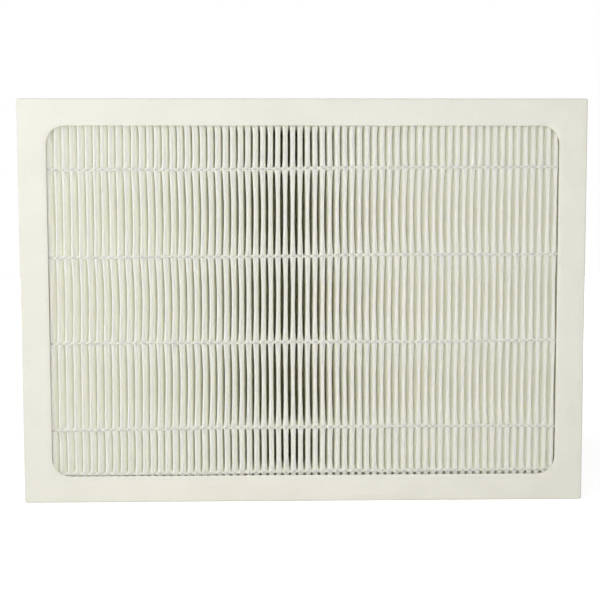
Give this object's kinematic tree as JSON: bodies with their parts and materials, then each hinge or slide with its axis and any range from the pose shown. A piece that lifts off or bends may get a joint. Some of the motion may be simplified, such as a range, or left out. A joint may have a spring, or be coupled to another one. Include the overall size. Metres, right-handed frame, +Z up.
{
  "type": "air purifier filter",
  "caption": "Flat rectangular air filter cassette with upright pleats held by thin glue lines in a folded board frame with a rounded window.",
  "frame": {"origin": "on the surface that the cassette stands on, under the middle of its box, gasket included", "axes": "+X across the cassette to its right seen from the front, +Y from the front flange back to the gasket, +Z up along the pleats"},
  "size_m": [0.4, 0.054, 0.286],
  "materials": {
    "frame_board": "matte coated paperboard, ivory white",
    "filter_paper": "matte, fibrous, off-white",
    "hot_melt": "smooth, slightly translucent white glue",
    "seal_foam": "pale closed-cell foam with a fine cell texture"
  },
  "bodies": {
    "root": {"front_frame": "frame_board", "rear_frame": "frame_board", "pleated_media": "filter_paper", "front_glue_line_1": "hot_melt", "front_glue_line_2": "hot_melt", "front_glue_line_3": "hot_melt", "front_glue_line_4": "hot_melt", "front_glue_line_5": "hot_melt", "front_glue_line_6": "hot_melt", "rear_glue_line_1": "hot_melt", "rear_glue_line_2": "hot_melt", "rear_glue_line_3": "hot_melt", "rear_glue_line_4": "hot_melt", "rear_glue_line_5": "hot_melt", "rear_glue_line_6": "hot_melt", "top_potting": "hot_melt", "bottom_potting": "hot_melt", "left_side_seal": "seal_foam", "right_side_seal": "seal_foam", "gasket_top": "seal_foam", "gasket_bottom": "seal_foam", "gasket_left": "seal_foam", "gasket_right": "seal_foam"}
  },
  "joints": []
}
